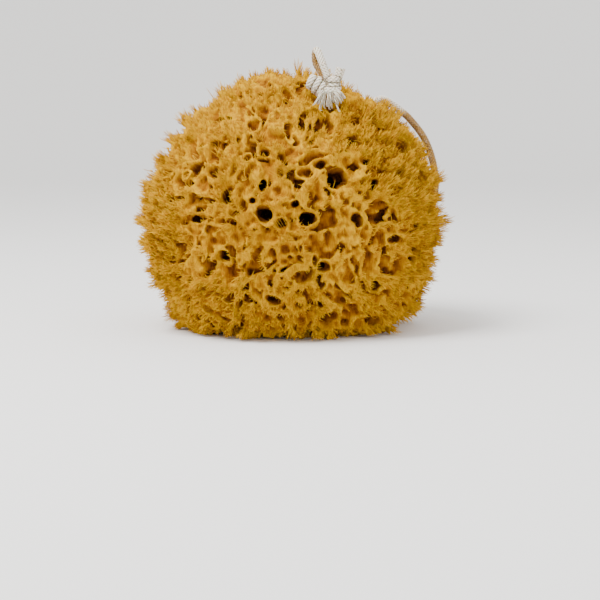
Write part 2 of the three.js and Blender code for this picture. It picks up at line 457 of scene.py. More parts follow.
# A fold of the cord under them, over the root of the frayed end.
knot_fold = knot_cord("knot_fold", [
    (12.6, -27.6, 110.6), (14.6, -29.8, 110.4), (16.6, -31.0, 110.0), (18.6, -31.0, 109.9),
    (20.2, -29.6, 110.5), (20.8, -27.4, 111.4)])
bight = knot_cord("knot_bight", [
    (16.7, -28.8, 110.6), (16.4, -28.6, 113.2), (16.1, -28.4, 116.2), (14.5, -27.7, 120.8),
    (12.8, -26.6, 125.2), (11.9, -25.3, 127.4), (11.2, -23.9, 127.6), (10.8, -22.8, 125.6),
    (11.3, -22.3, 122.0), (13.4, -22.8, 118.4), (15.0, -23.8, 114.4), (15.4, -24.6, 112.0)],
    tan_shaded=bight_tan_shade)
cut_end = knot_cord("knot_cut_end", [
    (16.4, -27.0, 110.6), (18.6, -27.6, 112.4), (20.2, -27.9, 114.4), (21.3, -28.0, 117.0),
    (22.1, -28.0, 120.0)],
    radius=CORD_RADIUS * 1.12, slack=lambda t: 1 + 0.16 * smoothstep(0.5, 1, t))


# The frayed end: yarns that come out of the knot together and fan out over the front of the crown.
YARN_COUNT = 26
YARN_RADIUS = 0.42 * MM
YARN_SIDES = 8
YARN_STEP = 0.4 * MM
YARN_TWIST = 2.8 * MM
YARN_PLIES = 3
YARN_REACH = 9.8
# The yarns' root, from the middle of the knot, and how much further back the back layer lies.
YARN_ROOT = (2.6, -3.6, -2.0)
BACK_LAYER = 0.6
# How widely they fan out: the outermost directions, in radians, and how far apart their roots are.
FAN_ANGLE = 1.12
FAN_SPREAD = 2.0


def frayed_yarns():
    """Separate twisted yarns in one mesh. Every second one lies in a back layer, darkened with painted shade.
    """
    rng = np.random.default_rng(31)
    points, faces, relief, count = [], [[], []], [], 0
    root = KNOT_CENTRE + YARN_ROOT
    for i in range(YARN_COUNT):
        fan = (i / (YARN_COUNT - 1) - 0.47) * 2 + rng.uniform(-0.08, 0.08)
        layer = i % 2
        reach = (YARN_REACH - 0.6 * abs(fan)) * rng.uniform(0.74, 1.08) - BACK_LAYER * layer
        angle = fan * FAN_ANGLE
        out = unit(np.array((math.sin(angle), -0.52 - 0.12 * layer, -math.cos(angle))))
        bow = np.array((0.25 * fan, -0.9 + 0.3 * layer, 0.7))
        start = root + np.array((fan * FAN_SPREAD, BACK_LAYER * layer + 0.4, 0.9 - 0.4 * abs(fan)))
        tip = root + out * reach + rng.uniform(-0.5, 0.5, 3)
        middle = (start + tip) / 2 + bow * rng.uniform(0.5, 1.2) + rng.uniform(-0.35, 0.35, 3)
        sag = tip + np.array((rng.uniform(-0.9, 0.9), -0.1, rng.uniform(-1.0, 0.1)))
        route = smooth_route(np.array((start, middle, tip, sag)) * MM, YARN_STEP)
        along = length_along(route)
        turn = np.linspace(0, 2 * math.pi, YARN_SIDES, endpoint=False)
        ply = np.cos(YARN_PLIES * (turn[None] + 2 * math.pi * along[:, None] / YARN_TWIST / YARN_PLIES))
        share = along / along[-1]
        girth = YARN_RADIUS * rng.uniform(0.85, 1.15) * (1 - 0.5 * smoothstep(0.82, 1, share))
        radii = girth[:, None] * (1 + 0.13 * ply)
        some, (walls, ends) = tube_mesh(route, radii, YARN_SIDES)
        points.append(some)
        faces[0].append(walls + count)
        faces[1].append(ends + count)
        # The relief sets the colour: painted shade in the grooves of each yarn's twist, and more on the back
        # layer.
        relief.append(np.concatenate([((0.5 + 0.5 * ply) * (0.45 if layer else 1)).ravel(), [0.3, 0.3]]))
        count += len(some)
    piece = mesh_piece("knot_frayed_end", np.vstack(points), [np.vstack(f) for f in faces])
    value_on_points(piece, "relief", np.concatenate(relief))
    value_on_points(piece, "tan_shade", np.zeros(count))
    return piece


frayed_end = frayed_yarns()

# A point of one cord this near to another cord's middle starts to get painted shade.
CREASE = 2.4 * MM


def paint_crease_shade(cords):
    """Lowers the relief of each cord where it lies against another turn, so that the seams show dark with
    painted shade.
    """
    for piece, own in cords:
        points = points_of(piece)
        ring = np.minimum(np.arange(len(points)) // BRAID_SIDES, len(own) - 1)
        nearest = np.full(len(points), 1.0)
        for other, route in cords:
            apart = np.linalg.norm(points[:, None] - route[None], axis=2)
            if other is piece:
                away = np.abs(ring[:, None] - np.arange(len(route))[None]) * BRAID_STEP
                apart[away < 4 * CORD_RADIUS] = 1.0
            nearest = np.minimum(nearest, apart.min(1))
        relief = np.empty(len(points), np.float32)
        layer = piece.data.attributes["relief"].data
        layer.foreach_get("value", relief)
        relief *= smoothstep(CORD_RADIUS * 0.9, CREASE, nearest)
        layer.foreach_set("value", relief)


paint_crease_shade(knot_routes)


# The cotton's colours, from the gaps between its strands, darkened with painted shade, to their tops.
WHITE_STOPS = [(0.0, (0.05, 0.035, 0.02)), (0.40, (0.42, 0.36, 0.26)), (0.80, (0.88, 0.84, 0.75))]
TAN_STOPS = [(0.0, (0.03, 0.009, 0.001)), (0.50, (0.17, 0.070, 0.006)), (0.9, (0.42, 0.22, 0.022))]
WORN_TINT = (0.45, 0.30, 0.10, 1.0)


def cotton_material():
    """White braided cotton, with painted shade in the gaps of its braid and a tan painted shade on the loop
    and the bight.
    """
    material, tree, shader = new_material("white_braided_cotton", Roughness=0.9, Sheen_Weight=0.10,
                                          Sheen_Roughness=0.5, Specular_IOR_Level=0.25,
                                          Subsurface_Weight=0.12, Subsurface_Scale=0.0012)
    relief = attribute(tree, "relief")
    tan_shaded = attribute(tree, "tan_shade")
    specks = place_group(tree, mottle, **{"Cloud Size": 500.0, "Fleck Size": 2600.0, "Fleck Share": 0.6})
    # The tan painted shade, made patchy by the specks.
    patchy = math_node(tree, "MULTIPLY", tan_shaded,
                       spread_value(tree, specks.outputs["Mask"], 0.1, 0.7, 0.72, 1.0))
    colour = blend_colours(tree, patchy, ramp(tree, relief, WHITE_STOPS), ramp(tree, relief, TAN_STOPS))
    worn = blend_colours(tree, math_node(tree, "MULTIPLY", specks.outputs["Mask"], 0.16), colour, WORN_TINT)
    tree.links.new(worn, shader.inputs["Base Color"])
    felt_surface(tree, shader, 0.35, 0.0004, **{"Fibre Size": 3600.0, "Pucker Size": 1500.0})
    return material


cotton = cotton_material()
knot_pieces = [knot_lobe, knot_collar, knot_fold, bight, cut_end, frayed_end]
for piece in (hanging_loop, *knot_pieces):
    piece.data.materials.append(cotton)
    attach(piece, "root")
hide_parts("hanging_loop")
for piece in knot_pieces:
    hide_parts("knot")


# ---------------------------------------------------------------- the sponge's skeleton

# All lengths in this part are in millimetres until a mesh is made.
# The heart is the place that the channels point to.
HEART = np.array((0.0, 0.0, 50.0))
# The size of the small cubes that the tissue is worked out on.
VOXEL = 0.62
# The tissue is worked out from this far above the skin to this far under it.
SKIN_ABOVE = 5.0
SHELL_DEPTH = 24.0
# How far the channels of the cut face go up into the sponge.
CUT_DEPTH = 15.0
BODY_RADIUS = 62.0
# The tissue may grow this far over the outer skin.
SKIN_SWELL = 1.3
# Channels narrow inward by this share, and stand a little taller than they are wide.
CHANNEL_STRETCH = 0.36
CHANNEL_SQUASH = np.array((1, 1, 0.9), np.float32)
STREAK_SQUASH = np.array((1, 1, 0.6), np.float32)

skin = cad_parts["sponge"].data
skin_tree = BVHTree.FromPolygons([v.co for v in skin.vertices], [tuple(p.vertices) for p in skin.polygons])


# How many azimuths and elevations the sponge's reach is measured in, how often it is smoothed, and the
# steepest way down that still meets the side of the sponge.
REACH_GRID = (180, 91)
REACH_SMOOTHING = 6
LOWEST_REACH = -0.62


def outer_reach():
    """How far the sponge reaches from its heart in each direction, on a grid of azimuths and elevations."""
    turns, tilts = REACH_GRID
    reach = np.zeros((turns, tilts), np.float32)
    start = Vector(HEART * MM)
    for i in range(turns):
        a = 2 * math.pi * i / turns
        for j in range(tilts):
            e = math.pi * (j / (tilts - 1) - 0.5)
            way = Vector((math.cos(e) * math.cos(a), math.cos(e) * math.sin(a), math.sin(e)))
            # The flat cut is made later, so below the heart the reach is carried on past it.
            if way.z > LOWEST_REACH:
                hit = skin_tree.ray_cast(start + way * 0.3, -way)[0]
                reach[i, j] = (hit - start).length / MM if hit else 0
    for j in range(tilts - 1, -1, -1):
        empty = reach[:, j] == 0
        reach[empty, j] = reach[empty, min(j + 1, tilts - 1)]
    smooth = reach.copy()
    for _ in range(REACH_SMOOTHING):
        smooth = (smooth + np.roll(smooth, 1, 0) + np.roll(smooth, -1, 0)
                  + np.pad(smooth, ((0, 0), (0, 1)), "edge")[:, 1:]
                  + np.pad(smooth, ((0, 0), (1, 0)), "edge")[:, :-1]) / 5
    return smooth


reach_table = outer_reach()


def polar(points):
    """Directions from the heart, and depths under the sponge's outer skin."""
    off = points - HEART.astype(np.float32)
    far = np.linalg.norm(off, axis=1)
    way = off / np.maximum(far, 1e-6)[:, None]
    far = far - SKIN_SWELL
    turns, tilts = reach_table.shape
    a = (np.arctan2(way[:, 1], way[:, 0]) / (2 * math.pi) % 1) * turns
    e = (np.arcsin(np.clip(way[:, 2], -1, 1)) / math.pi + 0.5) * (tilts - 1)
    i, j = np.floor(a).astype(np.int32), np.clip(np.floor(e).astype(np.int32), 0, tilts - 2)
    fa, fe = a - i, e - j
    i0, i1 = i % turns, (i + 1) % turns
    reach = ((reach_table[i0, j] * (1 - fa) + reach_table[i1, j] * fa) * (1 - fe)
             + (reach_table[i0, j + 1] * (1 - fa) + reach_table[i1, j + 1] * fa) * fe)
    return way, (reach - far).astype(np.float32)


# The random tables behind the noise repeat after this many cubes each way.
TABLE = 32


def cube_corners(part):
    """The corners of a cube: each one's step, and its weight at the place `part` inside the cube."""
    for step in itertools.product((0, 1), repeat=3):
        x, y, z = (part[:, k] if step[k] else 1 - part[:, k] for k in range(3))
        yield step, x * y * z


def lumps(points, spacing, seed):
    """Smooth noise from -1 to 1 with lumps about `spacing` apart."""
    table = np.random.default_rng(seed).uniform(-1, 1, TABLE ** 3).astype(np.float32)
    cell = (points / np.float32(spacing)).astype(np.float32)
    base = np.floor(cell)
    part = cell - base
    part = part * part * (3 - 2 * part)
    low = base.astype(np.int32) % TABLE
    ends = (low, (low + 1) % TABLE)
    total = np.zeros(len(points), np.float32)
    for step, weight in cube_corners(part):
        x, y, z = (ends[step[k]][:, k] for k in range(3))
        total += weight * table[(x * TABLE + y) * TABLE + z]
    return total * 1.6


def layered(points, layers, start=0.0):
    """Lumps of several sizes, [spacing, height, seed], added to a start."""
    for spacing, height, seed in layers:
        start = start + height * lumps(points, spacing, seed)
    return start


def scattered(points, spacing, shift):
    """The 27 cubes round each point: each cube's number, and how far its scattered centre is, in cubes."""
    cell = (points / np.float32(spacing)).astype(np.float32)
    base = np.floor(cell)
    part = cell - base
    base = base.astype(np.int32)
    for step in itertools.product((-1, 0, 1), repeat=3):
        x, y, z = ((base[:, k] + step[k]) % TABLE for k in range(3))
        at = (x * TABLE + y) * TABLE + z
        yield at, shift[at] + np.array(step, np.float32) - part


# How far each cell's centre may stray within its cube, as a share of the cube.
CELL_JITTER = 0.9


def cells(points, spacing, seed):
    """Distances to the nearest and second nearest of scattered cell centres, and a random number per cell."""
    rng = np.random.default_rng(seed)
    shift = rng.uniform(0.5 - CELL_JITTER / 2, 0.5 + CELL_JITTER / 2, (TABLE ** 3, 3)).astype(np.float32)
    own = rng.random(TABLE ** 3).astype(np.float32)
    first = np.full(len(points), 9, np.float32)
    second = np.full(len(points), 9, np.float32)
    number = np.zeros(len(points), np.float32)
    for at, gap in scattered(points, spacing, shift):
        far = np.einsum("ij,ij->i", gap, gap)
        nearer = far < first
        second = np.where(nearer, first, np.minimum(second, far))
        number = np.where(nearer, own[at], number)
        first = np.where(nearer, far, first)
    return np.sqrt(first) * spacing, np.sqrt(second) * spacing, number


def soft_max(a, b, radius):
    """The larger of two values, rounded where they meet."""
    h = np.clip(0.5 + 0.5 * (a - b) / radius, 0, 1)
    return b + (a - b) * h + radius * h * (1 - h)


def soft_min(a, b, radius):
    """The smaller of two values, rounded where they meet."""
    return -soft_max(-a, -b, radius)


def front_point(x, z):
    """The point of the skin at this place on the front, and the way out of it."""
    hit = skin_tree.ray_cast(Vector((x * MM, -0.3, z * MM)), Vector((0, 1, 0)))[0]
    place = np.array(hit) / MM
    return place, unit(place - HEART)


# Wide channels on the front: [x, z, radius across, radius up, depth]. The deep ones look black inside,
# darkened by painted shade.
FRONT_CHANNELS = [
    (-1.5, 94, 2.2, 6.0, 7),
    (15.5, 97.5, 2.3, 6.0, 7),
    (-11.5, 82, 2.5, 2.1, 7),
    (-17, 95.5, 3.4, 3.4, 4),
    (-12, 69.5, 2.3, 2.3, 12),
    (20.5, 72.5, 5.6, 4.2, 22),
    (15, 78.5, 3.2, 2.2, 8),
    (7.5, 75, 4.4, 2.6, 7),
    (32.5, 80, 3.0, 2.2, 7),
    (25.5, 88, 4.2, 3.0, 6),
    (29.5, 98.5, 4.6, 3.6, 5),
    (53, 74, 3.0, 3.8, 8),
    (58, 71, 3.0, 3.0, 6),
    (37, 68.5, 2.2, 3.0, 8),
    (-28, 64.5, 2.2, 3.3, 8),
    (-20, 80, 2.5, 2.5, 6),
    (-16.5, 63, 2.0, 1.5, 8),
    (-41, 54, 4.0, 2.2, 9),
    (-50.5, 63.5, 3.6, 1.4, 6),
    (-11, 57, 4.0, 3.3, 20),
    (-3.5, 53.5, 3.0, 2.2, 18),
    (7.5, 55.5, 4.2, 3.0, 20),
    (1.5, 62, 1.7, 1.7, 12),
    (29, 54, 3.0, 3.4, 8),
    (44.5, 54, 3.2, 2.4, 4),
    (46.5, 44, 3.0, 2.6, 8),
    (-4, 75, 2.1, 2.4, 6),
    (-32.5, 98, 3.0, 3.0, 5),
    (-47.5, 74, 2.2, 2.9, 6),
    (25, 110.5, 3.8, 2.9, 5),
    (-30, 38, 3.6, 2.8, 10),
    (14, 33, 3.8, 2.7, 10),
    (38, 24, 3.6, 2.6, 8),
    (-8, 19, 3.0, 2.4, 7),
]
# The arched alcove under the knot, given like a channel, and the posts of tissue left standing in it:
# foot, head and radius.
ALCOVE = (7.5, 97.0, 6.0, 5.6, 8)
POSTS = [((5.0, -45.0, 90.0), (6.0, -41.0, 97.0), 0.6), ((9.0, -45.0, 90.0), (8.4, -41.0, 97.0), 0.6)]
# A smooth bowl under a curved lip, almost without fibres: x, z, radius, depth.
SMOOTH_BOWL = (28.0, 78.5, 7.6, 5.5)
# The linings of the channels, the alcove and the bowl: how thick, and how far under the skin they begin.
CHANNEL_LINING = (1.4, 3.6)
ALCOVE_LINING = (1.4, 1.0)
BOWL_LINING = (2.6, 0.6)
# How far each kind narrows towards its bottom, 0 to 1.
CHANNEL_NARROWING = 0.45
ALCOVE_NARROWING = 0.3
BOWL_NARROWING = 0.9
# How much of the tissue's drift they follow, and how ragged their edges are.
CARVED_DRIFT = 0.5
RAGGED_FINE = 0.20
RAGGED_BROAD = 0.16
# Points further than this outside an opening, or from the middle of a post, are left alone.
CARVED_MARGIN = 6
POST_MARGIN = 10
# How much wider a post is at its ends.
POST_FLARE = 0.9

# Where the tissue closes into a dense combed coat: [direction, half angle in degrees, how closed]
COMBED_PATCHES = [
    ((0.66, -0.50, 0.56), 24, 0.75),
    ((-0.85, -0.40, -0.05), 20, 0.35),
    ((0.5, 0.8, 0.3), 24, 0.5),
]
# The middle of the part of the front that handling has worn smooth.
WORN_MIDDLE = (-0.05, -0.90, 0.42)

# [spacing, height, seed] of the lumps that bend the channels, vary the height of the crests and make fins.
DRIFT_LUMPS = [(13, 2.4, 11), (5.5, 1.1, 21), (2.8, 0.6, 31)]
CREST_LUMPS = [(11, 2.3, 51), (3.6, 1.6, 52)]
FIN_LUMPS = [(2.5, 0.6, 56), (1.5, 0.45, 53)]

# Channels and pits: their spacing, the wall at the skin and how fast it thickens inward, and the least and
# the added depth.
CHANNELS = (10.2, 0.6, 0.26, 2.8, 6.4)
PITS = (5.0, 0.7, 0.26, 1.8, 5.4)
# How much thicker the walls are in combed patches, and how much of the crests and the fins those patches
# and the worn places take away.
COMBED_WALL = 2.6
COMBED_CREST_LOSS = 0.4
COMBED_FIN_LOSS = 0.35
WORN_FIN_LOSS = 0.45
# How thick the walls of the cut face are at its rim.
RIM_WALL = 1.4


def combed_share(ways):
    """How far each direction lies in a combed patch, 0 to 1."""
    share = np.zeros(len(ways), np.float32)
    for middle, spread, closed in COMBED_PATCHES:
        towards = ways.astype(np.float32) @ unit(np.array(middle, np.float32))
        away = np.degrees(np.arccos(np.clip(towards, -1, 1)))
        share = np.maximum(share, closed * smoothstep(spread * 1.25, spread * 0.55, away))
    return share


def worn_share(ways):
    """How smooth each direction is worn, 0 to 1: most in the middle of the front, not in combed patches."""
    middle = smoothstep(0.10, 0.75, ways.astype(np.float32) @ unit(np.array(WORN_MIDDLE, np.float32)))
    return middle * (1 - combed_share(ways))


def honeycomb(radial, points, depth, seed, closed):
    """Channels of two sizes that close at their own depths, in ragged tissue. Positive in tissue."""
    spacing, wall, thickening, least, added = CHANNELS
    near, next_near, number = cells(radial, spacing, seed)
    thickness = wall + thickening * np.clip(depth, -1, 30) + 0.8 * lumps(points, 8, seed + 30)
    thickness += COMBED_WALL * closed
    floor = (least + added * number ** 1.8) * (1 - 0.5 * closed)
    rough_floor = (depth - floor) * 0.8 + 0.9 * lumps(points, 2.6, seed + 31)
    tissue = soft_max((thickness - (next_near - near)) * 0.5, rough_floor, 1.0)

    spacing, wall, thickening, least, added = PITS
    near, next_near, number = cells(radial + 40, spacing, seed + 1)
    pit_wall = (wall + thickening * np.clip(depth, -1, 12) - (next_near - near)) * 0.5
    pit_floor = depth - (least + added * number) * (1 - 0.5 * closed)
    return soft_min(tissue, soft_max(pit_wall, pit_floor, 0.8), 0.6)


def skeleton_field(points):
    """How deep each point is inside the tissue: positive in tissue, negative in channels and outside."""
    way, depth = polar(points)
    drift = np.stack([layered(points, [(spacing, height, seed + k) for spacing, height, seed in DRIFT_LUMPS])
                      for k in range(3)], 1).astype(np.float32)
    radial = way * (BODY_RADIUS - CHANNEL_STRETCH * depth)[:, None] + drift
    closed = combed_share(way)
    tissue = honeycomb(radial * CHANNEL_SQUASH, points, depth, 5, closed)

    # The crests end at uneven heights, in ragged points.
    fins = layered(radial * STREAK_SQUASH, FIN_LUMPS) + lumps(points, 1.7, 54) * 0.25 - 0.3
    fins *= smoothstep(19, 2, depth) * (1 - COMBED_FIN_LOSS * closed)
    fins *= 1 - WORN_FIN_LOSS * worn_share(way)
    tissue = tissue + fins
    crest = layered(radial, CREST_LUMPS, 0.9) * (1 - COMBED_CREST_LOSS * closed)
    tissue = soft_min(tissue, (depth - crest + 0.5 * lumps(radial, 2.1, 55)) * 0.7, 0.5)
    tissue = carve_front(tissue, points, points + drift * CARVED_DRIFT, depth)

    # The cut face shows the same channels, cut across.
    low = points[:, 2] < CUT_DEPTH
    cut_points = points[low]
    flat = cut_points + drift[low]
    flat[:, 2] *= CHANNEL_STRETCH
    rim = RIM_WALL * smoothstep(9, 3, depth[low])
    under = honeycomb(flat, cut_points, cut_points[:, 2] + 1.0, 15, rim)
    tissue[low] = soft_min(tissue[low], under, 0.6)
    return tissue


def channel_opening(channel, narrowing, points, pulled):
    """The points near a wide channel, how far outside its wall each one is, and how uneven it is there."""
    x, z, across, up, deep = channel
    place, out = front_point(x, z)
    inward = -unit(0.45 * out + (0, -0.55, 0))
    side = unit(np.cross((0, 0, 1), -inward)).astype(np.float32)
    rise = np.cross(-inward, side).astype(np.float32)
    reach = deep / 2 + across + up + CARVED_MARGIN
    close = np.linalg.norm(points - (place + inward * deep / 2), axis=1) < reach
    off = pulled[close] - place.astype(np.float32)
    uneven = lumps(points[close], 5.0, 62)
    ragged = RAGGED_FINE * lumps(points[close], 2.6, 61) + RAGGED_BROAD * uneven
    along = off @ inward.astype(np.float32)
    taper = 1 - narrowing * np.clip(along / deep, 0, 1)
    ring = np.sqrt((off @ side / across) ** 2 + (off @ rise / up) ** 2)
    wall = ((ring - taper - ragged) * 0.5 * (across + up)).astype(np.float32)
    return close, soft_max(wall, (along - deep).astype(np.float32), 1.5), uneven


def carve_front(tissue, points, pulled, depth):
    """Opens the channels, the alcove and the bowl, each with a thin smooth lining, and stands the posts."""
    x, z, radius, deep = SMOOTH_BOWL
    shapes = [(channel, CHANNEL_NARROWING, CHANNEL_LINING) for channel in FRONT_CHANNELS]
    shapes.append((ALCOVE, ALCOVE_NARROWING, ALCOVE_LINING))
    shapes.append(((x, z, radius, radius * 0.8, deep), BOWL_NARROWING, BOWL_LINING))
    openings = []
    for channel, narrowing, (lining, sunk) in shapes:
        close, opening, uneven = channel_opening(channel, narrowing, points, pulled)
        openings.append((close, opening))
        outer = lining * (1 + 0.5 * uneven) - opening
        walled = np.minimum(np.minimum(opening, outer), depth[close] - sunk * (1 + 0.4 * uneven))
        tissue[close] = soft_max(tissue[close], walled, 0.8)
    for close, opening in openings:
        tissue[close] = soft_min(tissue[close], opening, 0.6)
    for post in POSTS:
        stand_post(post, tissue, points, pulled)
    return tissue


def stand_post(post, tissue, points, pulled):
    """Adds a thin post of tissue, wider at its foot and its head."""
    foot, head = (np.array(end, np.float32) for end in post[:2])
    close = np.linalg.norm(points - (foot + head) / 2, axis=1) < POST_MARGIN
    off = pulled[close] - foot
    share = np.clip(off @ (head - foot) / ((head - foot) @ (head - foot)), 0, 1)
    girth = post[2] + POST_FLARE * (2 * share - 1) ** 4
    inside = girth - np.linalg.norm(off - share[:, None] * (head - foot), axis=1)
    tissue[close] = soft_max(tissue[close], inside.astype(np.float32), 0.8)


# The room cleared in the tissue: round the cord's surface, and balls round the knot and the frayed end.
CORD_ROOM = 0.3
KNOT_ROOM = 5.0
FRAY_ROOM = 2.2


def press_cord_in(field, grid):
    """Clears the tissue round the cord, the knot and the frayed end, which lie pressed into it."""
    beads = [(place / MM, CORD_RADIUS / MM + CORD_ROOM) for place in loop_route[::3]]
    beads += [(KNOT_CENTRE + shift, KNOT_ROOM) for shift in ((-4.2, 0, 0.3), (0, 0, 0), (4.2, 0, -0.3))]
    beads += [(KNOT_CENTRE + (2.2 + x, -5.0 - d * 0.9, -3.5 - d), FRAY_ROOM)
              for x in (-5, -2.5, 0, 2.5, 5) for d in (0, 3, 6)]
    for place, radius in beads:
        start = np.maximum(((place - radius - FIELD_LIMIT - GRID_LOW) / VOXEL).astype(int), 0)
        stop = ((place + radius + FIELD_LIMIT - GRID_LOW) / VOXEL).astype(int) + 1
        part = tuple(slice(a, b) for a, b in zip(start, stop))
        gap = np.linalg.norm(grid[part] - place, axis=-1) - radius
        field[part] = np.minimum(field[part], gap)


def blurred(values, reach):
    """A box blur of a grid, done twice along each side."""
    for axis in (0, 1, 2):
        for _ in range(2):
            total = np.cumsum(np.concatenate([np.zeros_like(values.take([0], axis)), values], axis), axis)
            count = values.shape[axis]
            high = np.minimum(np.arange(count) + reach + 1, count)
            low = np.maximum(np.arange(count) - reach, 0)
            width = (high - low).astype(np.float32)
            shape = [1, 1, 1]
            shape[axis] = count
            values = (total.take(high, axis) - total.take(low, axis)) / width.reshape(shape)
    return values


GRID_LOW = np.array([-74.4, -69.6, -2.4])
GRID_HIGH = np.array([74.4, 69.6, 124.8])
# Away from the surface the field stays at this value.
FIELD_LIMIT = 3.0
# How many cubes the wide and the near surroundings reach.
WIDE_REACH = 5
FINE_REACH = 2


def grow_skeleton():
    """The tissue's field on a grid of small cubes, and how full the wide and near surroundings are."""
    counts = np.ceil((GRID_HIGH - GRID_LOW) / VOXEL).astype(int)
    axes = [GRID_LOW[k] + VOXEL * np.arange(counts[k], dtype=np.float32) for k in range(3)]
    grid = np.stack(np.meshgrid(*axes, indexing="ij"), -1).reshape(-1, 3).astype(np.float32)
    depth = polar(grid)[1]
    live = (depth > -SKIN_ABOVE) & (grid[:, 2] > -2 * VOXEL)
    live &= (depth < SHELL_DEPTH) | (grid[:, 2] < CUT_DEPTH + 2)
    field = np.where(depth >= SHELL_DEPTH, FIELD_LIMIT, -FIELD_LIMIT).astype(np.float32)
    field[live] = skeleton_field(grid[live])
    # The knife cut is flat, at height 0.
    field = np.minimum(field, grid[:, 2]).reshape(counts)
    press_cord_in(field, grid.reshape(*counts, 3))
    field = np.clip(field, -FIELD_LIMIT, FIELD_LIMIT)
    filled = (field > 0).astype(np.float32)
    return field, blurred(filled, WIDE_REACH), blurred(filled, FINE_REACH)


def read_grid(values, points):
    """Values of a grid at points between its cubes."""
    cell = (points - GRID_LOW) / VOXEL
    base = np.clip(np.floor(cell).astype(np.int32), 0, np.array(values.shape) - 2)
    part = cell - base
    total = np.zeros(len(points))
    for step, weight in cube_corners(part):
        total += weight * values[base[:, 0] + step[0], base[:, 1] + step[1], base[:, 2] + step[2]]
    return total


tissue_field, wide_fill, near_fill = grow_skeleton()


# The painted shade that darkens the tissue, as [the most it adds, where it starts, where it is full]: how
# full the wide and near surroundings are, the depth in mm, and once more the depth of the deepest holes.
WIDE_SHADE = (0.50, 0.37, 0.78)
NEAR_SHADE = (0.26, 0.34, 0.70)
DEPTH_SHADE = (0.36, 0, 16)
HOLE_SHADE = (0.40, 8, 15)


def added_shade(rule, value):
    """The shade that one rule adds at this value."""
    most, start, full = rule
    return most * smoothstep(start, full, value)


def shade_at(points, skin_depth):
    """How much painted shade the tissue gets at points: 0 on open crests, 1 at the bottom of the deepest
    channels.
    """
    depth = np.minimum(skin_depth, points[:, 2] + 1.5)
    crowded = added_shade(WIDE_SHADE, read_grid(wide_fill, points))
    crowded += added_shade(NEAR_SHADE, read_grid(near_fill, points))
    return np.clip(crowded + (added_shade(DEPTH_SHADE, depth) + added_shade(HOLE_SHADE, depth)), 0, 1)


def coarser(values, size):
    """The same grid of values read on larger cubes."""
    counts = np.floor((np.array(values.shape) - 2) * VOXEL / size).astype(int)
    axes = [GRID_LOW[k] + size * np.arange(counts[k]) for k in range(3)]
    grid = np.stack(np.meshgrid(*axes, indexing="ij"), -1).reshape(-1, 3)
    return read_grid(values, grid).reshape(counts)


# How far flat stretches of the mesh are simplified, 0 to 1.
FLATTEN = 0.2
# How full of tissue the near surroundings are on flats, and on thin edges.
FLAT_FILL = 0.60
THIN_FILL = 0.36


def surface(values, size):
    """The points, triangles and quads of the tissue's surface, from the field on cubes of this size."""
    volume = openvdb.FloatGrid(FIELD_LIMIT)
    volume.copyFromArray(-values)
    points, triangles, quads = volume.convertToPolygons(isovalue=0.0, adaptivity=FLATTEN)
    return points * size + GRID_LOW, triangles.reshape(-1, 3), quads.reshape(-1, 4)


class Skin:
    """A part of a surface: its points and faces, and what is known at each point.

    out is its normal, way is straight out of the heart, depth is under the skin, shade is how much painted
    shade it gets, and edge is 1 on thin edges and 0 on flats and in hollows."""

    def __init__(self, whole, chosen):
        points = whole[0]
        picked = [faces[chosen(points[faces].mean(1))] for faces in whole[1:]]
        used = np.unique(np.concatenate([faces.ravel() for faces in picked]))
        place = np.full(len(points), -1, np.int32)
        place[used] = np.arange(len(used))
        self.points = points[used]
        self.triangles, self.quads = (place[faces] for faces in picked)
        self.way, self.depth = polar(self.points.astype(np.float32))
        out = point_normals(self.points, self.all_triangles())
        if (out * self.way).sum() < 0:
            out = -out
            self.triangles, self.quads = self.triangles[:, ::-1], self.quads[:, ::-1]
        self.out = out
        self.shade = shade_at(self.points, self.depth)
        self.edge = smoothstep(FLAT_FILL, THIN_FILL, read_grid(near_fill, self.points))

    def all_triangles(self):
        """Its faces with each quad as two triangles."""
        return np.vstack([self.triangles, self.quads[:, [0, 1, 2]], self.quads[:, [0, 2, 3]]])


def point_normals(points, triangles):
    """The normal at each point, from the triangles round it."""
    a, b, c = (points[triangles[:, k]] for k in range(3))
    across = np.cross(b - a, c - a)
    normals = np.zeros_like(points)
    for k in range(3):
        for axis in range(3):
            normals[:, axis] += np.bincount(triangles[:, k], across[:, axis], len(points))
    return unit(normals)


def lay_bake_map(piece, places):
    """Lays each point on the map named OFBake."""
    layer = piece.data.uv_layers.new(name="OFBake")
    corners = np.empty(len(piece.data.loops), np.int32)
    piece.data.loops.foreach_get("vertex_index", corners)
    layer.data.foreach_set("uv", np.asarray(places, np.float32)[corners].ravel())


def looking_at(ways, facing):
    """Map places by direction: the middle of the map faces front or back, and its rim is the side."""
    away = np.arccos(np.clip(ways[:, 1] * facing, -1, 1))
    across = unit(np.stack([ways[:, 0] * facing, ways[:, 2]], 1))
    return 0.5 + across * (away / math.pi)[:, None] * 0.92


def tissue_piece(name, skin_part, facing):
    """One mesh of the tissue, with its painted shade on its points."""
    piece = mesh_piece(name, skin_part.points * MM, [skin_part.quads, skin_part.triangles])
    value_on_points(piece, "shade", skin_part.shade)
    lay_bake_map(piece, looking_at(skin_part.way, facing))
    return piece


# The tissue is one thing. Its meshes part at these places in depth, because each holds a limited number
# of faces.
FRONT_LEVEL = -22.0
BACK_LEVEL = 22.0
SEAM_OVERLAP = 0.6
BACK_VOXEL = 0.96

